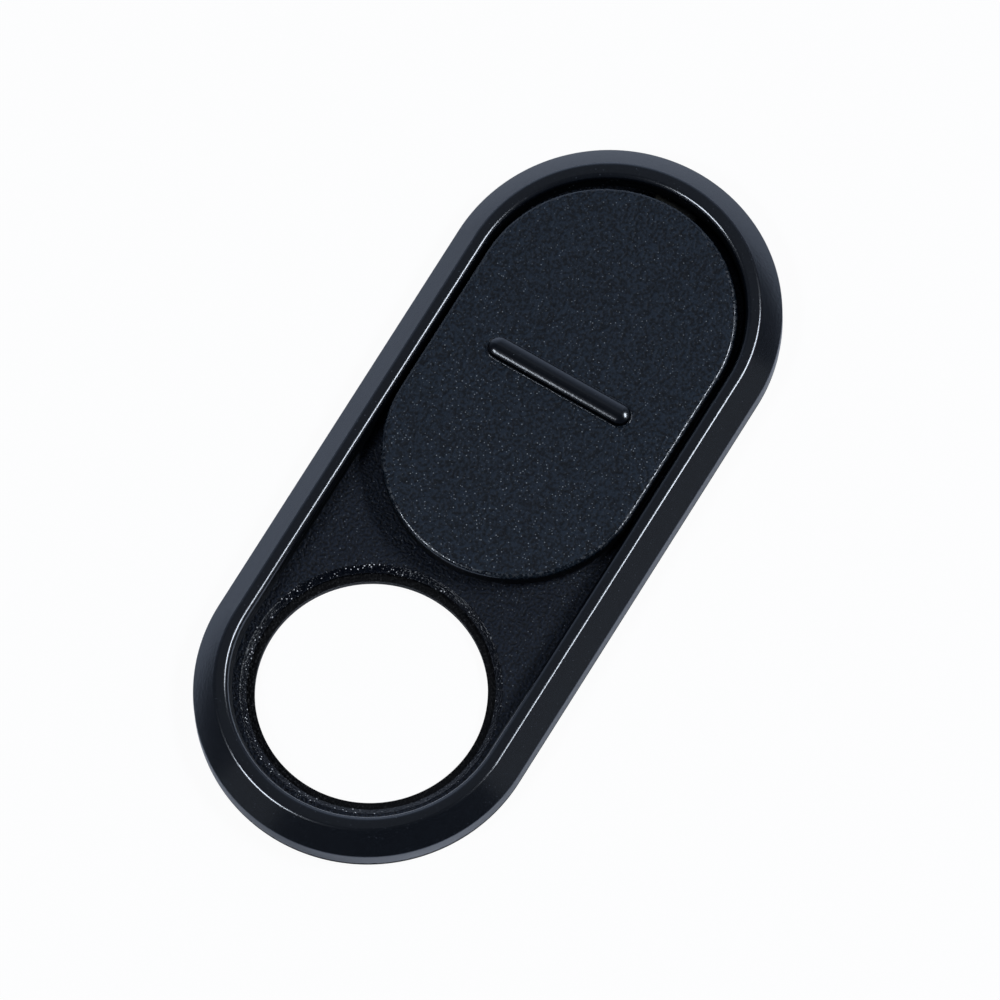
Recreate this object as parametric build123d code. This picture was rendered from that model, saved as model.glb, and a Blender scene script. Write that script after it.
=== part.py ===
from build123d import *
import os
from math import atan2, degrees

# Stick-on cover for a notebook camera: a rim with a slide channel, a floor plate with the
# camera hole, a shutter that slides between them and the tape that holds it all to the screen.
# Millimetres. +X runs along the slide towards the parked end, +Z comes out of the face, and
# z = 0 is the face of the tape that sticks to the screen. The shutter is drawn parked.

# Rim
FRAME_LENGTH = 19.5
FRAME_WIDTH = 8.4
BEVEL_WIDTH = 0.53       # outer bevel, seen from above
BEVEL_HEIGHT = 0.49
RIM_FLAT = 0.288         # flat top between the bevel and the window
END_LAND = 0.066         # how much wider the flat top is at the two ends
LIP_THICKNESS = 0.4      # rim above the slide channel
LIP_DRAFT = 0.045        # how far the lip leans into the window towards its foot
FLARE_WIDTH = 0.05       # the lip's foot flares out, which guides the shutter
FLARE_HEIGHT = 0.095
SKIRT_WALL = 0.38        # side wall beside the slide channel
SEAT_LEDGE = 0.1         # step that the floor plate is welded to
CREST_ROUND = 0.13
SHOULDER_ROUND = 0.05
LIP_ROUND = 0.1
FOOT_ROUND = 0.04

# Tape
TAPE_THICKNESS = 0.21
TAPE_INSET = 0.01
FOOT_BITE = 0.11         # how far the rim's foot presses into the foam
TAPE_HOLE_RADIUS = 2.79

# Floor plate
PLATE_THICKNESS = 0.21
PLATE_FIT = 0.02
HOLE_RADIUS = 2.98
HOLE_FROM_END = 4.3
HOLE_LAND = 0.08         # straight part of the hole, under its countersink
COUNTERSINK_WIDTH = 0.155
NIB_LENGTH = 0.6         # low bump under the parked end of the shutter
NIB_WIDTH = 1.2
NIB_REACH = 0.08         # how far the nib goes under the lip
NIB_CLEARANCE = 0.04
NIB_ROUND = 0.1

# Shutter
CHANNEL_HEIGHT = 0.27
RUNNING_CLEARANCE = 0.03
SIDE_CLEARANCE = 0.06
PAD_RISE = 0.04          # top of the pad above the rim
PAD_SIDE_GAP = 0.052
PARK_GAP = 0.216         # from the parked pad to the lip that stops it
HOLE_CLEAR = 0.365       # floor left bare between the hole and the parked pad
PAD_ROUND = 0.12
CARRIER_CORNER = 0.3
RIDGE_LENGTH = 3.84
RIDGE_WIDTH = 0.48
RIDGE_HEIGHT = 0.22
RIDGE_ROUND = 0.145
GROOVE_WIDTH = 0.05      # fine groove round the foot of the ridge
GROOVE_DEPTH = 0.05

# Heights
frame_bottom = TAPE_THICKNESS - FOOT_BITE
floor_top = TAPE_THICKNESS + PLATE_THICKNESS
lip_bottom = floor_top + CHANNEL_HEIGHT
rim_top = lip_bottom + LIP_THICKNESS
shoulder = rim_top - BEVEL_HEIGHT
carrier_bottom = floor_top + RUNNING_CLEARANCE
pad_bottom = lip_bottom - RUNNING_CLEARANCE
pad_top = rim_top + PAD_RISE

# Plan sizes, each an offset of the frame's outline
window_inset = BEVEL_WIDTH + RIM_FLAT
lip_inset = window_inset + LIP_DRAFT + FLARE_WIDTH
seat_inset = SKIRT_WALL - SEAT_LEDGE
plate_inset = seat_inset + PLATE_FIT
lip_end = FRAME_LENGTH / 2 - lip_inset - END_LAND
hole_x = HOLE_FROM_END - FRAME_LENGTH / 2
hole_edge_radius = HOLE_RADIUS + COUNTERSINK_WIDTH

# Shutter sizes: parked, it stands just short of the lip at the window's end and clears the
# camera hole. Its rails run the length of the pad's straight sides.
pad_width = FRAME_WIDTH - 2 * (lip_inset + PAD_SIDE_GAP)
parked_end = lip_end - PARK_GAP
pad_length = parked_end - (hole_x + hole_edge_radius + HOLE_CLEAR)
parked_x = parked_end - pad_length / 2
carrier_length = pad_length - pad_width
carrier_width = FRAME_WIDTH - 2 * (SKIRT_WALL + SIDE_CLEARANCE)

# The slide, measured from the parked place: a little further back, or shut over the hole.
# At either stop the pad's end is a running clearance short of the lip.
open_stop = PARK_GAP - RUNNING_CLEARANCE
shut_stop = 2 * parked_x + open_stop


def outline(inset):
    """The frame's stadium outline, moved inwards."""
    return SlotOverall(FRAME_LENGTH - 2 * inset, FRAME_WIDTH - 2 * inset)


def window(inset):
    """The window's stadium, which stops short of the outline's ends by the wider flat there."""
    return SlotOverall(FRAME_LENGTH - 2 * (inset + END_LAND), FRAME_WIDTH - 2 * inset)


def slab(sketch, bottom, top):
    """A sketch in plan, made solid between two heights."""
    return extrude(Pos(0, 0, bottom) * sketch, top - bottom)


def edges_at(solid, height):
    """The level edges of a solid at one height."""
    level = 1e-4
    return solid.edges().filter_by_position(Axis.Z, height - level, height + level)


def top_edges(solid):
    """The edges round a solid's highest face."""
    return solid.faces().sort_by(Axis.Z)[-1].edges()


def make_rim_frame():
    body = slab(outline(0), frame_bottom, rim_top)
    top = body.faces().sort_by(Axis.Z)[-1]
    body = chamfer(top.edges(), BEVEL_WIDTH, BEVEL_HEIGHT, reference=top)
    body = fillet(edges_at(body, rim_top), CREST_ROUND)
    body = fillet(edges_at(body, shoulder), SHOULDER_ROUND)
    body = fillet(edges_at(body, frame_bottom), FOOT_ROUND)
    body -= slab(window(lip_inset), frame_bottom, lip_bottom)
    lip_height = LIP_THICKNESS - FLARE_HEIGHT
    flare = degrees(atan2(FLARE_WIDTH, FLARE_HEIGHT))
    lean = degrees(atan2(LIP_DRAFT, lip_height))
    body -= extrude(Pos(0, 0, lip_bottom) * window(lip_inset), FLARE_HEIGHT, taper=-flare)
    lip_plan = Pos(0, 0, lip_bottom + FLARE_HEIGHT) * window(lip_inset - FLARE_WIDTH)
    body -= extrude(lip_plan, lip_height, taper=-lean)
    lip_edge = body.faces().sort_by(Axis.Z)[-1].inner_wires()[0].edges()
    body = fillet(lip_edge, LIP_ROUND)
    body -= slab(outline(SKIRT_WALL), frame_bottom, lip_bottom)
    body -= slab(outline(seat_inset), frame_bottom, floor_top)
    return body


def make_base_plate():
    body = slab(outline(plate_inset), TAPE_THICKNESS, floor_top)
    body -= slab(Pos(hole_x, 0) * Circle(HOLE_RADIUS), TAPE_THICKNESS, floor_top)
    land_top = TAPE_THICKNESS + HOLE_LAND
    countersink = Cone(HOLE_RADIUS, hole_edge_radius, floor_top - land_top,
                       align=(Align.CENTER, Align.CENTER, Align.MIN))
    body -= Pos(hole_x, 0, land_top) * countersink
    nib_x = lip_end + NIB_REACH - NIB_LENGTH / 2
    nib_plan = Pos(nib_x, 0) * RectangleRounded(NIB_LENGTH, NIB_WIDTH, NIB_ROUND)
    nib = slab(nib_plan, floor_top, pad_bottom - NIB_CLEARANCE)
    return body + fillet(top_edges(nib), NIB_ROUND)


def make_shutter():
    pad = slab(Pos(parked_x, 0) * SlotOverall(pad_length, pad_width), pad_bottom, pad_top)
    pad = fillet(top_edges(pad), PAD_ROUND)
    carrier_plan = RectangleRounded(carrier_length, carrier_width, CARRIER_CORNER)
    carrier = slab(Pos(parked_x, 0) * carrier_plan, carrier_bottom, pad_bottom)
    across = Pos(parked_x, 0) * Rot(0, 0, 90)
    ridge_plan = across * SlotOverall(RIDGE_LENGTH, RIDGE_WIDTH)
    groove_plan = across * SlotOverall(RIDGE_LENGTH + 2 * GROOVE_WIDTH, RIDGE_WIDTH + 2 * GROOVE_WIDTH)
    groove_floor = pad_top - GROOVE_DEPTH
    ridge = slab(ridge_plan, groove_floor, pad_top + RIDGE_HEIGHT)
    ridge = fillet(top_edges(ridge), RIDGE_ROUND)
    return pad + carrier - slab(groove_plan, groove_floor, pad_top) + ridge


def make_adhesive_pad():
    pressed = slab(outline(TAPE_INSET), 0, frame_bottom)
    tape = pressed + slab(outline(plate_inset), 0, TAPE_THICKNESS)
    return tape - slab(Pos(hole_x, 0) * Circle(TAPE_HOLE_RADIUS), 0, TAPE_THICKNESS)


nodes = {
    "rim_frame": make_rim_frame(),
    "base_plate": make_base_plate(),
    "shutter": make_shutter(),
    "adhesive_pad": make_adhesive_pad(),
}
os.makedirs("parts", exist_ok=True)
for name, solid in nodes.items():
    export_step(solid, f"parts/{name}.step")

print(f"shutter parked at x = {parked_x:.4f}, slides from {-open_stop:.4f} to {shut_stop:.4f} along -X")
print(f"camera hole at x = {hole_x:.4f}, pad {pad_length:.3f} x {pad_width:.3f}, carrier {carrier_length:.3f}")
print(f"heights: floor {floor_top:.3f}, lip {lip_bottom:.3f}, rim {rim_top:.3f}, pad {pad_top:.3f}")
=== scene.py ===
# %% [markdown]
# # A sliding cover for a notebook camera
# The real object is a small black stick-on cover. A bevelled rim holds a thin floor with a round
# hole for the camera, and a shutter with one ridge for the fingertip slides between them.
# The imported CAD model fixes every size, place and joint, so it is loaded first and never moved.
# Each of its nodes is then rebuilt as a finer mesh, because at this scale the look is all edges:
# a bright line runs along every rounding, and a coarse mesh would break it up.

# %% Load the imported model
import math

import bmesh
import bpy
from mathutils import Matrix, Quaternion, Vector


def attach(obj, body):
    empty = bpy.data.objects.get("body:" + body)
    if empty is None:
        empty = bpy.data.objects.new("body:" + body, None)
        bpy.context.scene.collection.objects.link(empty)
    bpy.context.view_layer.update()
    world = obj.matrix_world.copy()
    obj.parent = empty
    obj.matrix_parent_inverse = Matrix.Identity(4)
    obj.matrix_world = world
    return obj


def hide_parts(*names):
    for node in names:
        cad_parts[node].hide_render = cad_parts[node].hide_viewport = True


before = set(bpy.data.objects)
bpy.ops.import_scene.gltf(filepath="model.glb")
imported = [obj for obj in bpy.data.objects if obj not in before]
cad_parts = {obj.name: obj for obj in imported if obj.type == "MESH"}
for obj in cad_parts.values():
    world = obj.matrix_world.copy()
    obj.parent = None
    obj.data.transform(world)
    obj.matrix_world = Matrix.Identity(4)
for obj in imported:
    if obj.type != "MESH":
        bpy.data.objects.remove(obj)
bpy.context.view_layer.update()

# %% [markdown]
# The camera comes before the pieces, so that every render can be laid against the photograph.
# A product photographer stands well back from so small a thing and uses a long lens, which keeps
# the two long sides parallel. The camera is turned about three angles, then moved sideways until
# the part's origin falls where the photograph has it. Millimetres are easier to read for an
# object of this size, so sizes are written in them and multiplied by MM.

# %% Camera
MM = 0.001
PICTURE = 1000
PIXELS_PER_MM = 41.65
SENSOR = 36.0
CAMERA_DISTANCE = 420.0
CLIP_START = 0.01
CAMERA_ANGLES = (-54.888, 70.967, -4.188)
ORIGIN_PIXEL = (489.3, 509.3)
azimuth, elevation, roll = (math.radians(angle) for angle in CAMERA_ANGLES)

back = Vector((math.sin(azimuth) * math.cos(elevation),
               -math.cos(azimuth) * math.cos(elevation), math.sin(elevation)))
turn = (-back).to_track_quat("-Z", "Y") @ Quaternion((0, 0, 1), roll)
aside = (PICTURE / 2 - ORIGIN_PIXEL[0]) / PIXELS_PER_MM
above = (ORIGIN_PIXEL[1] - PICTURE / 2) / PIXELS_PER_MM

camera = bpy.data.objects.new("camera", bpy.data.cameras.new("camera"))
camera.data.sensor_width = SENSOR
camera.data.lens = SENSOR * CAMERA_DISTANCE * PIXELS_PER_MM / PICTURE
camera.data.clip_start = CLIP_START
camera.rotation_mode = "QUATERNION"
camera.rotation_quaternion = turn
camera.location = (back * CAMERA_DISTANCE + turn @ Vector((aside, above, 0))) * MM
bpy.context.scene.collection.objects.link(camera)
bpy.context.scene.camera = camera
print(f"lens {camera.data.lens:.0f} mm, {CAMERA_DISTANCE:.0f} mm from the part")

# %% [markdown]
# Four helpers make every piece. The first draws a section: its corners become one flat face, each
# corner is rounded by a vertex bevel, and the face is taken away so that only its outline is left.
# Rounding the section rather than the finished solid gives even, unbroken edges all the way round.
# A corner with no rounding is left sharp, and corners listed as scaffold only close the outline
# for the bevel and are deleted after it, which leaves the section open there.

# %% Draw a rounded section
ROUND_STEPS = 8


def draw_section(bm, corners, place, scaffold=()):
    """Wire outline of (across, height, rounding) corners, put in space by place(across, height)."""
    old_edges = set(bm.edges)
    verts = [bm.verts.new(place(across, height)) for across, height, _ in corners]
    spare = [bm.verts.new(place(across, height)) for across, height in scaffold]
    bm.faces.new(verts + spare)
    for vert, (_, _, rounding) in zip(verts, corners):
        if rounding:
            ways = [(edge.other_vert(vert).co - vert.co) for edge in vert.link_edges]
            reach = rounding / math.tan(ways[0].angle(ways[1]) / 2)
            bmesh.ops.bevel(bm, geom=[vert], offset=reach, offset_type="OFFSET", affect="VERTICES",
                            segments=ROUND_STEPS, profile=0.5, material=-1)
    bmesh.ops.delete(bm, geom=[face for face in bm.faces if set(face.edges).isdisjoint(old_edges)
                               and all(edge.is_boundary for edge in face.edges)],
                     context="FACES_ONLY")
    bmesh.ops.delete(bm, geom=spare, context="VERTS")
    return [edge for edge in bm.edges if edge not in old_edges]


print("a rounded corner has", ROUND_STEPS, "steps")

# %% [markdown]
# The second helper carries a section round a stadium, the racetrack shape of the rim, the pad and
# the ridge. A curve with a bevel object could do this too, but its corners pinch. Two half-turn
# spins and two straight extrusions keep every ring of vertices square to the path.

# %% Carry a section round a stadium
END_STEPS = 96
WELD = 1e-4


def carry_round(bm, section, straight, steps=END_STEPS):
    """Sweep a section that stands at the -Y side of the +X end once round a stadium."""
    edges = section
    for side in (1, -1):
        spun = bmesh.ops.spin(bm, geom=edges, cent=(side * straight / 2, 0, 0), axis=(0, 0, 1),
                              angle=math.pi, steps=steps)
        end = [item for item in spun["geom_last"] if isinstance(item, bmesh.types.BMEdge)]
        drawn = bmesh.ops.extrude_edge_only(bm, edges=end)["geom"]
        verts = {item for item in drawn if isinstance(item, bmesh.types.BMVert)}
        edges = [item for item in drawn if isinstance(item, bmesh.types.BMEdge)
                 and verts.issuperset(item.verts)]
        bmesh.ops.translate(bm, verts=list(verts), vec=(-side * straight, 0, 0))
    bmesh.ops.remove_doubles(bm, verts=bm.verts, dist=WELD)


def stadium_place(length, width):
    """Where a stadium's section stands: an inset from its outline becomes a place at its -Y side."""
    return lambda inset, height: ((length - width) / 2, inset - width / 2, height)


print("a stadium's end has", END_STEPS, "steps")

# %% [markdown]
# A sweep leaves the flat faces open. The third helper fills the area between the open loops at one
# height, such as a plate's outline and the hole in it. A grid fill wants loops with equal counts,
# so a triangle fill does it here, and a flat face shows nothing of how it was cut up.
# Sections that meet such a flat are closed outlines too, so their upright side is opened first.

# %% Open a section and close a flat area
def drop_uprights(bm, section, axis, place):
    """Open a section by deleting its edges that stand upright at one place along an axis."""
    upright = [edge for edge in section
               if all(abs(vert.co[axis] - place) < WELD for vert in edge.verts)]
    bmesh.ops.delete(bm, geom=upright, context="EDGES")
    return [edge for edge in section if edge.is_valid]


def close_flat(bm, height):
    """Fill the area between the open loops at one height."""
    loops = [edge for edge in bm.edges if edge.is_boundary
             and all(abs(vert.co.z - height) < WELD for vert in edge.verts)]
    made = bmesh.ops.triangle_fill(bm, edges=loops, use_beauty=True, normal=(0, 0, 1))
    return [item for item in made["geom"] if isinstance(item, bmesh.types.BMFace)]


print("points nearer than", WELD, "mm count as one")

# %% [markdown]
# The last helper finishes a piece: it points the faces outwards, scales millimetres to metres,
# gives the piece its materials, attaches it to its body's empty and hides the CAD node it stands
# for. A Weighted Normal modifier lets the large flat faces keep their own direction, so that the
# shading turns only inside the roundings.

# %% Finish a piece
SHARP_ANGLE = math.radians(35)
LOW_CORNER, HIGH_CORNER = 0, 6


def finish_piece(name, bm, node, body, finishes):
    """Turn a bmesh in millimetres into a piece that stands for a CAD node."""
    bmesh.ops.recalc_face_normals(bm, faces=bm.faces)
    open_edges = sum(not edge.is_manifold for edge in bm.edges)
    for face in bm.faces:
        face.smooth = True
    for edge in bm.edges:
        edge.smooth = edge.is_manifold and edge.calc_face_angle() < SHARP_ANGLE
    bmesh.ops.scale(bm, vec=(MM, MM, MM), verts=bm.verts)
    mesh = bpy.data.meshes.new(name)
    bm.to_mesh(mesh)
    bm.free()
    piece = bpy.data.objects.new(name, mesh)
    bpy.context.scene.collection.objects.link(piece)
    for finish in finishes:
        mesh.materials.append(finish)
    even = piece.modifiers.new("even_shading", "WEIGHTED_NORMAL")
    even.keep_sharp = True
    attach(piece, body)
    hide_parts(node)
    low, high = (Vector(piece.bound_box[corner]) / MM for corner in (LOW_CORNER, HIGH_CORNER))
    print(f"{name}: {len(mesh.polygons)} faces, {open_edges} open edges,",
          "from", [round(v, 3) for v in low], "to", [round(v, 3) for v in high])


print("edges sharper than", round(math.degrees(SHARP_ANGLE)), "degrees stay crisp")

# %% [markdown]
# Materials are made of nodes, and three small helpers keep their code short: one adds a node with
# its values, one links nodes in a list of steps, and one starts a material. Noise on Object
# coordinates counts in metres, so a scale given per millimetre is multiplied by PER_MM.

# %% Short words for shader nodes
PER_MM = 1 / MM


def add_node(tree, kind, inputs=None, **settings):
    """A shader node with its settings and input values."""
    node = tree.nodes.new(kind)
    for setting, value in settings.items():
        setattr(node, setting, value)
    for socket, value in (inputs or {}).items():
        node.inputs[socket].default_value = value
    return node


def wire(tree, *steps):
    """Link nodes, each step being a node, its output, the next node and that one's input."""
    for source, output, target, socket in steps:
        tree.links.new(source.outputs[output], target.inputs[socket])


def new_finish(name):
    """An empty node material with its Principled shader."""
    finish = bpy.data.materials.new(name)
    finish.use_nodes = True
    return finish, finish.node_tree, finish.node_tree.nodes["Principled BSDF"]


print("one metre has", round(PER_MM), "millimetres")

# %% [markdown]
# All the plastic is one blue-black moulding compound, and what differs is how far the mould was
# polished. Three things make it read as that rather than as flat black: a fine mottle less than a
# tenth of a millimetre across, a bump of the same grain, and painted glints: tiny pale specks in the
# base colour where a facet of the grain would catch light. The specks are the middles of Voronoi
# cells, and a power of each cell's random colour makes most of them faint and a few bright.

# %% Blue-black moulded plastic
GRAIN, GRAIN_LOW, GRAIN_HIGH = 14.5, 0.38, 0.62
# Pale specks painted into the base colour stand in for glints where the grain catches light.
GLINT_CELLS, GLINT_CORE, GLINT_EDGE, GLINT_POWER = 14.0, 0.05, 0.25, 3.0
PAINTED_GLINT = (0.17, 0.20, 0.24)
SHINE = (0.80, 0.88, 1.0, 1)


def moulded_plastic(name, dark, light, roughness, shine, grain_depth, glint_share, glint_colour=PAINTED_GLINT):
    """Mottled plastic between two colours, with a grain bump and a share of pale specks of painted glint.
    """
    finish, tree, shader = new_finish(name)
    coords = add_node(tree, "ShaderNodeTexCoord")
    mottle = add_node(tree, "ShaderNodeTexNoise",
                      {"Scale": GRAIN * PER_MM, "Detail": 2.0, "Roughness": 0.5})
    spread = add_node(tree, "ShaderNodeMapRange", {"From Min": GRAIN_LOW, "From Max": GRAIN_HIGH})
    tone = add_node(tree, "ShaderNodeMix", data_type="RGBA")
    tone.inputs["A"].default_value = (*dark, 1)
    tone.inputs["B"].default_value = (*light, 1)
    cells = add_node(tree, "ShaderNodeTexVoronoi", {"Scale": GLINT_CELLS * PER_MM})
    spot = add_node(tree, "ShaderNodeMapRange",
                    {"From Min": GLINT_CORE, "From Max": GLINT_EDGE, "To Min": 1.0, "To Max": 0.0})
    luck = add_node(tree, "ShaderNodeSeparateColor")
    chosen = add_node(tree, "ShaderNodeMapRange", {"From Min": 1.0 - glint_share, "From Max": 1.0})
    rare = add_node(tree, "ShaderNodeMath", {1: GLINT_POWER}, operation="POWER")
    bright = add_node(tree, "ShaderNodeMath", operation="MULTIPLY", name="painted_glint_strength")
    glinted = add_node(tree, "ShaderNodeMix", data_type="RGBA", name="painted_glint_mix")
    glinted.inputs["B"].default_value = (*glint_colour, 1)
    bump = add_node(tree, "ShaderNodeBump", {"Strength": 1.0, "Distance": grain_depth * MM})
    wire(tree, (coords, "Object", mottle, "Vector"), (mottle, "Fac", spread, "Value"),
         (spread, "Result", tone, "Factor"), (tone, "Result", glinted, "A"),
         (coords, "Object", cells, "Vector"), (cells, "Distance", spot, "Value"),
         (cells, "Color", luck, "Color"), (luck, "Red", chosen, "Value"), (chosen, "Result", rare, 0),
         (spot, "Result", bright, 0), (rare, "Value", bright, 1), (bright, "Value", glinted, "Factor"),
         (glinted, "Result", shader, "Base Color"), (mottle, "Fac", bump, "Height"),
         (bump, "Normal", shader, "Normal"))
    shader.inputs["Roughness"].default_value = roughness
    shader.inputs["Specular IOR Level"].default_value = shine
    shader.inputs["Specular Tint"].default_value = SHINE
    return finish


print("grain", GRAIN, "and specks", GLINT_CELLS, "to the millimetre")

# %% [markdown]
# The pad and the floor come from a spark-eroded mould, so they are grained and dull. On the pad,
# the specks of painted glint are stronger towards the hole's end. A map range along one axis
# multiplies them, which is simpler than painting a mask.

# %% Grained pad and floor
def strengthen_glints(finish, axis, strongest_at, weakest_at, strongest, weakest):
    """Make the painted glint specks of a finish stronger towards one end of an axis."""
    tree = finish.node_tree
    place = add_node(tree, "ShaderNodeSeparateXYZ")
    glint_ramp = add_node(tree, "ShaderNodeMapRange", {"From Min": strongest_at * MM, "From Max": weakest_at * MM,
                                                 "To Min": strongest, "To Max": weakest})
    strength = add_node(tree, "ShaderNodeMath", operation="MULTIPLY")
    wire(tree, (tree.nodes["Texture Coordinate"], "Object", place, "Vector"), (place, axis, glint_ramp, "Value"),
         (glint_ramp, "Result", strength, 0), (tree.nodes["painted_glint_strength"], "Value", strength, 1),
         (strength, "Value", tree.nodes["painted_glint_mix"], "Factor"))


grained_plastic = moulded_plastic("grained_plastic", dark=(0.000, 0.001, 0.003),
                                  light=(0.008, 0.0145, 0.026), roughness=0.55, shine=0.24,
                                  grain_depth=0.04, glint_share=0.9)
# The pad's painted glints are stronger towards the hole's end.
strengthen_glints(grained_plastic, "X", strongest_at=-2.0, weakest_at=6.0, strongest=2.8, weakest=1.1)
floor_plastic = moulded_plastic("floor_plastic", dark=(0.000, 0.0005, 0.002),
                                light=(0.006, 0.010, 0.020), roughness=0.55, shine=0.22,
                                grain_depth=0.045, glint_share=1.0)
print("grained", grained_plastic.name, floor_plastic.name)

# %% [markdown]
# The rim and the ridge are polished to a satin: almost no grain, faint specks of painted glint, and
# a gloss sharp enough to draw the lamps as thin lines along the roundings. The walls inside the
# slide are dull, and their nearly black colour is painted shade for the shadow they stand in. The
# nib is a lighter, warmer grey than the floor.

# %% Satin rim, ridge, walls and nib
# Faint pale specks of painted glint for the satin.
FAINT_GLINT = (0.05, 0.06, 0.08)
BLUE_BLACK = {"dark": (0.001, 0.0015, 0.003), "light": (0.002, 0.003, 0.005)}
satin_plastic = moulded_plastic("satin_plastic", **BLUE_BLACK, roughness=0.20, shine=1.0,
                                grain_depth=0.0015, glint_share=0.5, glint_colour=FAINT_GLINT)
ridge_plastic = moulded_plastic("ridge_plastic", **BLUE_BLACK, roughness=0.18, shine=0.55,
                                grain_depth=0.0015, glint_share=0.12)
# The walls' nearly black colour is painted shade for the slide's shadow.
painted_shade_wall = moulded_plastic("painted_shade_wall", dark=(0.000, 0.0005, 0.001),
                               light=(0.001, 0.0015, 0.002), roughness=0.45, shine=0.15,
                               grain_depth=0.006, glint_share=0.2)
# The nib is given a lighter, warmer grey than the floor.
nib_plastic = moulded_plastic("nib_plastic", dark=(0.020, 0.021, 0.018),
                              light=(0.030, 0.031, 0.026), roughness=0.55, shine=0.3,
                              grain_depth=0.006, glint_share=0.3)
smooth_plastics = (satin_plastic, ridge_plastic, painted_shade_wall, nib_plastic)
print("smooth", [finish.name for finish in smooth_plastics])

# %% [markdown]
# Where the grain runs over an edge, the rounding polishes only its peaks, and the edge glints in
# dots instead of a line. That is one more noise, and it drives the roughness: dull in its valleys,
# glossy on its peaks. The hole's countersink stays black, and its glints are painted: its specks
# are paler and, on the side that faces the lamps, several times as strong, so it sparkles.

# %% Glinting edges
DULL = 0.6
# The countersink's pale specks are painted glints.
GLINT = (0.62, 0.66, 0.72)


def polish_peaks(finish, scale, valley, peak, gloss):
    """Make a finish glossy only where a noise of its own is high."""
    tree = finish.node_tree
    peaks = add_node(tree, "ShaderNodeTexNoise", {"Scale": scale * PER_MM, "Detail": 1.0})
    polish = add_node(tree, "ShaderNodeMapRange", {"From Min": valley, "From Max": peak,
                                                   "To Min": DULL, "To Max": gloss})
    wire(tree, (tree.nodes["Texture Coordinate"], "Object", peaks, "Vector"),
         (peaks, "Fac", polish, "Value"),
         (polish, "Result", tree.nodes["Principled BSDF"], "Roughness"))


edge_plastic = moulded_plastic("edge_plastic", dark=(0.000, 0.001, 0.003),
                               light=(0.004, 0.008, 0.014), roughness=DULL, shine=0.8,
                               grain_depth=0.006, glint_share=0.9)
hole_plastic = moulded_plastic("hole_plastic", dark=(0.000, 0.0005, 0.002),
                               light=(0.002, 0.003, 0.006), roughness=0.2, shine=0.3,
                               grain_depth=0.03, glint_share=1.0, glint_colour=GLINT)
polish_peaks(edge_plastic, scale=14.0, valley=0.34, peak=0.52, gloss=0.16)
# The countersink's painted glints are several times as strong on the side that faces the lamps.
strengthen_glints(hole_plastic, "Y", strongest_at=1.5, weakest_at=-2.0, strongest=6.5, weakest=0.8)
print("glinting", edge_plastic.name, hole_plastic.name)

# %% [markdown]
# The tape is black foam. It has almost no shine, and its cut edge is open-celled, so Voronoi cells
# give it both its tone and its bump.

# %% Foam tape
FOAM_CELLS, FOAM_DEPTH = 14.0, 0.02
FOAM_DARK, FOAM_LIGHT = (0.0005, 0.0005, 0.0006, 1), (0.003, 0.003, 0.0036, 1)
FOAM_ROUGHNESS, FOAM_SHINE = 0.4, 0.12
foam_tape, foam_tree, foam_shader = new_finish("foam_tape")
foam_coords = add_node(foam_tree, "ShaderNodeTexCoord")
foam_cells = add_node(foam_tree, "ShaderNodeTexVoronoi", {"Scale": FOAM_CELLS * PER_MM})
foam_tone = add_node(foam_tree, "ShaderNodeMix", data_type="RGBA")
foam_tone.inputs["A"].default_value = FOAM_DARK
foam_tone.inputs["B"].default_value = FOAM_LIGHT
foam_bump = add_node(foam_tree, "ShaderNodeBump", {"Strength": 1.0, "Distance": FOAM_DEPTH * MM})
foam_shader.inputs["Roughness"].default_value = FOAM_ROUGHNESS
foam_shader.inputs["Specular IOR Level"].default_value = FOAM_SHINE
foam_shader.inputs["Specular Tint"].default_value = SHINE
wire(foam_tree, (foam_coords, "Object", foam_cells, "Vector"),
     (foam_cells, "Distance", foam_tone, "Factor"), (foam_tone, "Result", foam_shader, "Base Color"),
     (foam_cells, "Distance", foam_bump, "Height"), (foam_bump, "Normal", foam_shader, "Normal"))
print("tape", foam_tape.name)

# %% [markdown]
# The rim is one moulding. Its outside rises as a low wall, leans in as a broad bevel and turns over
# a narrow flat top into the window. Inside, the lip leans a little further in, flares out at its
# foot, and has the channel for the shutter and the seat for the floor cut under it.
# All of that is one section, so the whole rim is one sweep.

# %% Rim
FRAME_LENGTH, FRAME_WIDTH = 19.5, 8.4
FRAME_BOTTOM, SHOULDER, RIM_TOP = 0.10, 0.60, 1.09
FLOOR_TOP, LIP_BOTTOM, FLARE_TOP = 0.42, 0.69, 0.785
BEVEL_WIDTH, WINDOW_INSET, FLARE_INSET, LIP_INSET = 0.525, 0.818, 0.863, 0.913
CHANNEL_INSET, SEAT_INSET = 0.38, 0.28
FOOT_ROUND, SHOULDER_ROUND, CREST_ROUND = 0.04, 0.05, 0.13
LIP_ROUND, FLARE_ROUND, LIP_FOOT_ROUND = 0.15, 0.03, 0.015
FRAME_STRAIGHT = FRAME_LENGTH - FRAME_WIDTH

rim_section = [
    (0, FRAME_BOTTOM, FOOT_ROUND), (0, SHOULDER, SHOULDER_ROUND), (BEVEL_WIDTH, RIM_TOP, CREST_ROUND),
    (WINDOW_INSET, RIM_TOP, LIP_ROUND), (FLARE_INSET, FLARE_TOP, FLARE_ROUND),
    (LIP_INSET, LIP_BOTTOM, LIP_FOOT_ROUND), (CHANNEL_INSET, LIP_BOTTOM, 0),
    (CHANNEL_INSET, FLOOR_TOP, 0), (SEAT_INSET, FLOOR_TOP, 0), (SEAT_INSET, FRAME_BOTTOM, 0),
]
frame_place = stadium_place(FRAME_LENGTH, FRAME_WIDTH)
rim_mesh = bmesh.new()
carry_round(rim_mesh, draw_section(rim_mesh, rim_section, frame_place), FRAME_STRAIGHT)
print("rim", len(rim_mesh.faces), "faces")

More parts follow.
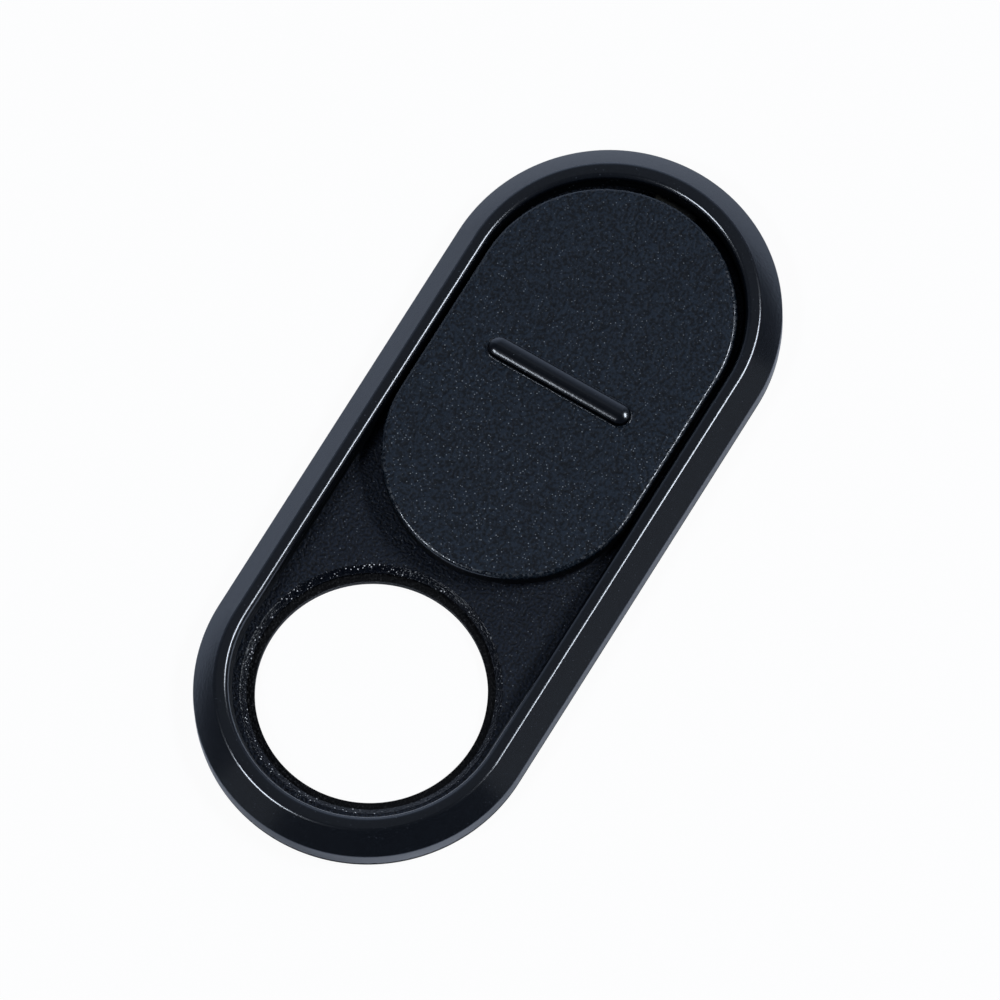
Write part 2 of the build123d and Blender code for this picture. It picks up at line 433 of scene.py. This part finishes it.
# %% [markdown]
# The window is a little shorter than the rim's own outline, so the flat top is wider at the two
# ends. The sweep can't know that, and a second section would be a second sweep to join, so the lip
# at each end is simply moved inwards. The lip's wall then takes the slide's dull finish, whose
# nearly black colour is painted shade.

# %% Window ends and lip wall
END_LAND = 0.066
LIP_SHADE_FINISH = 1


def inset_of(point):
    """How far inside the rim's outline a point lies, in plan."""
    along = max(abs(point.x) - FRAME_STRAIGHT / 2, 0)
    return FRAME_WIDTH / 2 - math.hypot(along, point.y)


flat_middle = (BEVEL_WIDTH + WINDOW_INSET) / 2
for side in (1, -1):
    lip = [vert for vert in rim_mesh.verts if side * vert.co.x > 0 and vert.co.z > FLOOR_TOP + WELD
           and inset_of(vert.co) > flat_middle]
    bmesh.ops.translate(rim_mesh, verts=lip, vec=(-side * END_LAND, 0, 0))
for face in rim_mesh.faces:
    middle = face.calc_center_median()
    if inset_of(middle) > WINDOW_INSET - END_LAND and middle.z < RIM_TOP - LIP_ROUND:
        face.material_index = LIP_SHADE_FINISH
finish_piece("rim", rim_mesh, "rim_frame", "housing",
             [satin_plastic, painted_shade_wall])

# %% [markdown]
# The floor is a thin plate with a countersunk hole. A boolean would cut the hole in one call, but
# it leaves long thin triangles that shade badly. Here the hole is a section spun right round its
# own axis, with a strip of the plate above and below that the flat faces are joined to later.

# %% Camera hole in the floor
PLATE_BOTTOM, LAND_TOP = 0.21, 0.29
HOLE_X, HOLE_RADIUS, HOLE_EDGE_RADIUS = -5.45, 2.98, 3.135
HOLE_EDGE_ROUND, HOLE_FOOT_ROUND = 0.06, 0.05
HOLE_STEPS = 192
HOLE_FINISH = 1
STRIP = 0.12
strip_radius = HOLE_EDGE_RADIUS + STRIP


def hole_place(radius, height):
    """Where the section of the camera hole stands."""
    return (HOLE_X + radius, 0, height)


def spin_hole(bm, section):
    """Turn a section, opened at its outside, once round the camera hole's axis."""
    opened = drop_uprights(bm, section, 0, HOLE_X + strip_radius)
    bmesh.ops.spin(bm, geom=opened, cent=(HOLE_X, 0, 0), axis=(0, 0, 1), angle=2 * math.pi,
                   steps=HOLE_STEPS, use_merge=True)


floor_mesh = bmesh.new()
hole_section = [
    (strip_radius, FLOOR_TOP, 0), (HOLE_EDGE_RADIUS, FLOOR_TOP, HOLE_EDGE_ROUND),
    (HOLE_RADIUS, LAND_TOP, HOLE_FOOT_ROUND), (HOLE_RADIUS, PLATE_BOTTOM, 0),
    (strip_radius, PLATE_BOTTOM, 0),
]
spin_hole(floor_mesh, draw_section(floor_mesh, hole_section, hole_place))
for face in floor_mesh.faces:
    if PLATE_BOTTOM + WELD < face.calc_center_median().z < FLOOR_TOP - WELD:
        face.material_index = HOLE_FINISH
print("hole", len(floor_mesh.faces), "faces")

# %% [markdown]
# The plate's own edge is one more section carried round the stadium, and the flat areas between
# edge and hole are filled, above and below.

# %% Floor plate
PLATE_INSET, PLATE_ROUND = 0.30, 0.02
strip_inset = PLATE_INSET + STRIP
plate_section = [
    (strip_inset, FLOOR_TOP, 0), (PLATE_INSET, FLOOR_TOP, PLATE_ROUND),
    (PLATE_INSET, PLATE_BOTTOM, PLATE_ROUND), (strip_inset, PLATE_BOTTOM, 0),
]
plate_wire = draw_section(floor_mesh, plate_section, frame_place)
plate_wire = drop_uprights(floor_mesh, plate_wire, 1, strip_inset - FRAME_WIDTH / 2)
carry_round(floor_mesh, plate_wire, FRAME_STRAIGHT)
flats = [face for height in (FLOOR_TOP, PLATE_BOTTOM) for face in close_flat(floor_mesh, height)]
print("plate", len(flats), "flat faces")

# %% [markdown]
# A low nib stands on the floor under the parked end. It is a box with its edges bevelled round,
# sunk a little into the floor so that no gap can show under it.

# %% Nib on the floor
NIB_SIZE, NIB_X, NIB_TOP, NIB_SINK, NIB_ROUND = (0.6, 1.2), 8.551, 0.62, 0.05, 0.1
NIB_FINISH = 2
nib_height = NIB_TOP - FLOOR_TOP + NIB_SINK
nib_place = Matrix.Translation((NIB_X, 0, NIB_TOP - nib_height / 2))
nib = bmesh.ops.create_cube(floor_mesh, size=1,
                            matrix=nib_place @ Matrix.Diagonal((*NIB_SIZE, nib_height, 1)))
nib_edges = {edge for vert in nib["verts"] for edge in vert.link_edges
             if any(end.co.z > FLOOR_TOP for end in edge.verts)}
bmesh.ops.bevel(floor_mesh, geom=list(nib_edges), offset=NIB_ROUND, offset_type="OFFSET",
                affect="EDGES", segments=ROUND_STEPS, profile=0.5, material=-1)
for face in floor_mesh.faces:
    if face.calc_center_median().z > FLOOR_TOP + WELD:
        face.material_index = NIB_FINISH
finish_piece("floor_plate", floor_mesh, "base_plate", "housing",
             [floor_plastic, hole_plastic, nib_plastic])

# %% [markdown]
# The shutter is one moulding too: a thick pad that fills the window, rails under the lip, and an
# arched ridge that rises out of a fine groove with a bead round it. Half the ridge's section is
# drawn, from the pad over bead and groove up to the crown, whose arch is one large rounding.
# The ridge is swept lying along X, then turned across the pad.

# %% Ridge, groove and bead
PAD_BOTTOM, PAD_TOP, RIDGE_TOP, GROOVE_FLOOR = 0.66, 1.13, 1.35, 1.08
RIDGE_LENGTH, RIDGE_WIDTH = 3.84, 0.48
RIDGE_ARCH, RIDGE_CORNER, RIDGE_SLOPE = 0.33, 0.1, math.radians(39)
CROWN_GAP = 0.005
BEAD_RISE, BEAD_ROUND, BEAD_OUTSIDE, BEAD_INSIDE = 0.028, 0.027, 0.078, 0.022
BEAD_TOP = PAD_TOP + BEAD_RISE
PAD_MARGIN = 0.09
RIDGE_STEPS = 40

shutter_mesh = bmesh.new()
flank_top = RIDGE_TOP - RIDGE_CORNER * math.tan(RIDGE_SLOPE)
crown_inset = RIDGE_WIDTH / 2 - CROWN_GAP
ridge_section = [
    (-PAD_MARGIN, PAD_TOP, 0), (-BEAD_OUTSIDE, PAD_TOP, 0), (-BEAD_OUTSIDE, BEAD_TOP, BEAD_ROUND),
    (-BEAD_INSIDE, BEAD_TOP, BEAD_ROUND), (-BEAD_INSIDE, GROOVE_FLOOR, 0), (0, GROOVE_FLOOR, 0),
    (0, flank_top, 0), (RIDGE_CORNER, RIDGE_TOP, RIDGE_ARCH), (crown_inset, RIDGE_TOP, 0),
]
under_ridge = [(crown_inset, PAD_BOTTOM), (-PAD_MARGIN, PAD_BOTTOM)]
ridge_place = stadium_place(RIDGE_LENGTH, RIDGE_WIDTH)
ridge_wire = draw_section(shutter_mesh, ridge_section, ridge_place, under_ridge)
carry_round(shutter_mesh, ridge_wire, RIDGE_LENGTH - RIDGE_WIDTH, RIDGE_STEPS)
close_flat(shutter_mesh, RIDGE_TOP)
bmesh.ops.rotate(shutter_mesh, verts=shutter_mesh.verts, cent=(0, 0, 0),
                 matrix=Matrix.Rotation(math.pi / 2, 3, "Z"))
print("ridge and groove", len(shutter_mesh.faces), "faces")

# %% [markdown]
# Each face of the ridge gets its finish by where it lies: the bead glints, the side of the ridge
# that faces the hole has a fine, weak gloss, and the other side keeps the rim's stronger satin.

# %% Finishes of the ridge
GRAINED, POLISHED, EDGE, SHADE_WALL, SATIN = range(5)


def ridge_finish(middle):
    """Which of the shutter's finishes a face round the ridge takes."""
    if abs(middle.z - PAD_TOP) < WELD:
        return GRAINED
    if PAD_TOP < middle.z < BEAD_TOP:
        return EDGE
    return SATIN if middle.z > BEAD_TOP and middle.x > 0 else POLISHED


for face in shutter_mesh.faces:
    face.material_index = ridge_finish(face.calc_center_median())
print("glinting faces", sum(face.material_index == EDGE for face in shutter_mesh.faces))

# %% [markdown]
# The pad is swept round the finished ridge, so that its top can be filled up to the bead. Its
# rounded top edge glints, and its sides, which stand in the slide's shadow, are dull, with a nearly
# black colour that is painted shade.

# %% Pad
PAD_LENGTH, PAD_WIDTH = 10.505, 6.47
PAD_ROUND, PAD_FOOT_ROUND, PAD_STRIP = 0.1, 0.03, 0.3
ridge_faces = set(shutter_mesh.faces)
pad_section = [
    (PAD_STRIP, PAD_BOTTOM, 0), (0, PAD_BOTTOM, PAD_FOOT_ROUND), (0, PAD_TOP, PAD_ROUND),
    (PAD_STRIP, PAD_TOP, 0),
]
pad_wire = draw_section(shutter_mesh, pad_section, stadium_place(PAD_LENGTH, PAD_WIDTH))
pad_wire = drop_uprights(shutter_mesh, pad_wire, 1, PAD_STRIP - PAD_WIDTH / 2)
carry_round(shutter_mesh, pad_wire, PAD_LENGTH - PAD_WIDTH)
for face in set(shutter_mesh.faces) - ridge_faces:
    height = face.calc_center_median().z
    if height < PAD_TOP - WELD:
        face.material_index = EDGE if height > PAD_TOP - PAD_ROUND else SHADE_WALL
for height in (PAD_TOP, PAD_BOTTOM):
    close_flat(shutter_mesh, height)
print("ridge and pad", len(shutter_mesh.faces), "faces")

# %% [markdown]
# The rails that run under the lip are the two ends of one plate below the pad, wider than the
# window. It is a box with its upright corners rounded. The whole shutter is then moved to where it
# is parked.

# %% Rails
PARKED_X = 3.3025
CARRIER_LENGTH, CARRIER_WIDTH, CARRIER_BOTTOM, CARRIER_CORNER = 4.035, 7.52, 0.45, 0.3
carrier_height = PAD_BOTTOM - CARRIER_BOTTOM
carrier_place = Matrix.Translation((0, 0, PAD_BOTTOM - carrier_height / 2))
carrier_size = Matrix.Diagonal((CARRIER_LENGTH, CARRIER_WIDTH, carrier_height, 1))
carrier = bmesh.ops.create_cube(shutter_mesh, size=1, matrix=carrier_place @ carrier_size)
carrier_corners = {edge for vert in carrier["verts"] for edge in vert.link_edges
                   if abs(edge.verts[0].co.z - edge.verts[1].co.z) > WELD}
bmesh.ops.bevel(shutter_mesh, geom=list(carrier_corners), offset=CARRIER_CORNER,
                offset_type="OFFSET", affect="EDGES", segments=ROUND_STEPS, profile=0.5, material=-1)
bmesh.ops.translate(shutter_mesh, verts=shutter_mesh.verts, vec=(PARKED_X, 0, 0))
finish_piece("shutter_pad", shutter_mesh, "shutter", "shutter",
             [grained_plastic, ridge_plastic, edge_plastic, painted_shade_wall, satin_plastic])

# %% [markdown]
# The tape is a ring of foam under the floor. The rim's foot presses its outer edge thin, so it has
# a step, and its hole is smaller than the floor's, so it shows as a dark ring inside it.

# %% Tape
TAPE_TOP, TAPE_INSET, TAPE_HOLE_RADIUS = 0.21, 0.01, 2.79
TAPE_ROUND, TAPE_HOLE_ROUND = 0.01, 0.02
tape_mesh = bmesh.new()
tape_hole = [
    (strip_radius, TAPE_TOP, 0), (TAPE_HOLE_RADIUS, TAPE_TOP, TAPE_HOLE_ROUND),
    (TAPE_HOLE_RADIUS, 0, TAPE_ROUND), (strip_radius, 0, 0),
]
spin_hole(tape_mesh, draw_section(tape_mesh, tape_hole, hole_place))
tape_edge = [
    (strip_inset, 0, 0), (TAPE_INSET, 0, TAPE_ROUND), (TAPE_INSET, FRAME_BOTTOM, TAPE_ROUND),
    (PLATE_INSET, FRAME_BOTTOM, 0), (PLATE_INSET, TAPE_TOP, 0), (strip_inset, TAPE_TOP, 0),
]
tape_wire = draw_section(tape_mesh, tape_edge, frame_place)
tape_wire = drop_uprights(tape_mesh, tape_wire, 1, strip_inset - FRAME_WIDTH / 2)
carry_round(tape_mesh, tape_wire, FRAME_STRAIGHT)
for height in (TAPE_TOP, 0):
    close_flat(tape_mesh, height)
finish_piece("tape_ring", tape_mesh, "adhesive_pad", "housing", [foam_tape])

# %% [markdown]
# The photograph has a plain white ground. More light would turn the ground white and wash the part
# out, so the ground stays a pale blue-grey paint that is lit like the part, holds its soft shadow
# and shows in its bevels, and Light Path lets the camera alone see most of it as plain white.

# %% Paint of the ground
WHITE_SHARE = 0.95
GROUND_COLOUR, GROUND_ROUGHNESS = (0.66, 0.72, 0.84, 1), 0.9
ground_paint, ground_tree, ground_shader = new_finish("pale_ground")
ground_shader.inputs["Base Color"].default_value = GROUND_COLOUR
ground_shader.inputs["Roughness"].default_value = GROUND_ROUGHNESS
ground_shader.inputs["Specular IOR Level"].default_value = 0.0
path = add_node(ground_tree, "ShaderNodeLightPath")
share = add_node(ground_tree, "ShaderNodeMath", {1: WHITE_SHARE}, operation="MULTIPLY")
white = add_node(ground_tree, "ShaderNodeEmission", {"Color": (1, 1, 1, 1), "Strength": 1.0})
ground_mix = add_node(ground_tree, "ShaderNodeMixShader")
wire(ground_tree, (path, "Is Camera Ray", share, 0), (share, "Value", ground_mix, "Fac"),
     (ground_shader, "BSDF", ground_mix, 1), (white, "Emission", ground_mix, 2),
     (ground_mix, "Shader", ground_tree.nodes["Material Output"], "Surface"))
print("the camera sees", WHITE_SHARE, "of the ground as white")

# %% [markdown]
# The ground itself is one large square, big enough to fill every view.

# %% Ground
GROUND_REACH = 2000
ground_mesh = bmesh.new()
bmesh.ops.create_grid(ground_mesh, x_segments=1, y_segments=1, size=GROUND_REACH * MM)
ground_data = bpy.data.meshes.new("ground")
ground_mesh.to_mesh(ground_data)
ground_mesh.free()
ground_data.materials.append(ground_paint)
ground = bpy.data.objects.new("ground", ground_data)
bpy.context.scene.collection.objects.link(ground)
print("ground", GROUND_REACH, "mm each way")

# %% [markdown]
# The rim's far bevels show a pale sheen and its near ones stay dark, so the room behind the part is
# bright and the rest of it is dim. The world is lit by direction: a dot product with the way to the
# bright side, raised to a power, says how far each direction faces it.

# %% Bright far side of the room
ROOM_DIM, ROOM_BRIGHT = 0.07, 1.15
ROOM_WAY = (0.776, 0.606, -0.174)
ROOM_FALL = 3.0
ROOM_COLOUR = (0.8, 0.9, 1.1, 1)
world = bpy.data.worlds.new("studio")
bpy.context.scene.world = world
world.use_nodes = True
room = world.node_tree
background = room.nodes["Background"]
background.inputs["Color"].default_value = ROOM_COLOUR
ways = add_node(room, "ShaderNodeTexCoord")
towards = add_node(room, "ShaderNodeVectorMath", operation="DOT_PRODUCT")
towards.inputs[1].default_value = ROOM_WAY
ahead = add_node(room, "ShaderNodeMath", {1: 0.0}, operation="MAXIMUM")
fall = add_node(room, "ShaderNodeMath", {1: ROOM_FALL}, operation="POWER")
level = add_node(room, "ShaderNodeMapRange", {"To Min": ROOM_DIM, "To Max": ROOM_BRIGHT})
wire(room, (ways, "Generated", towards, 0), (towards, "Value", ahead, 0), (ahead, "Value", fall, 0),
     (fall, "Value", level, "Value"), (level, "Result", background, "Strength"))
print("room from", ROOM_DIM, "to", ROOM_BRIGHT)

# %% [markdown]
# Two soft boxes light the part, one from the left of the picture and one from the right. They stand
# half-way up and are wide: a shallow box draws a thin bright line along an edge that turns towards
# it, and its width carries that line round the bends. Three dim fills only lift the near bevels and
# the flat tops out of black. A lamp is set by the radiance of its face, which a reflection shows.

# %% Soft boxes
BOX_DISTANCE = 220


def soft_box(name, azimuth_deg, elevation_deg, width, height, radiance):
    """A level area lamp that faces the part, set by how bright its face looks."""
    lamp = bpy.data.lights.new(name, "AREA")
    lamp.shape = "RECTANGLE"
    lamp.size, lamp.size_y = width * MM, height * MM
    lamp.energy = radiance * math.pi * lamp.size * lamp.size_y
    around, up = math.radians(azimuth_deg), math.radians(elevation_deg)
    way = Vector((math.cos(around) * math.cos(up), math.sin(around) * math.cos(up), math.sin(up)))
    box = bpy.data.objects.new(name, lamp)
    box.location = way * BOX_DISTANCE * MM
    box.rotation_euler = way.to_track_quat("Z", "Y").to_euler()
    bpy.context.scene.collection.objects.link(box)
    print(f"{name}: {lamp.energy:.4f} W from azimuth {azimuth_deg}")


soft_box("left_box", azimuth_deg=146, elevation_deg=49, width=80, height=42, radiance=21.0)
soft_box("right_box", azimuth_deg=307, elevation_deg=48, width=105, height=42, radiance=21.0)
soft_box("left_fill", azimuth_deg=151, elevation_deg=18, width=110, height=110, radiance=0.13)
soft_box("right_fill", azimuth_deg=286, elevation_deg=17, width=110, height=110, radiance=0.15)
soft_box("top_fill", azimuth_deg=35, elevation_deg=71, width=110, height=110, radiance=0.08)
bpy.context.scene.view_settings.view_transform = "Standard"
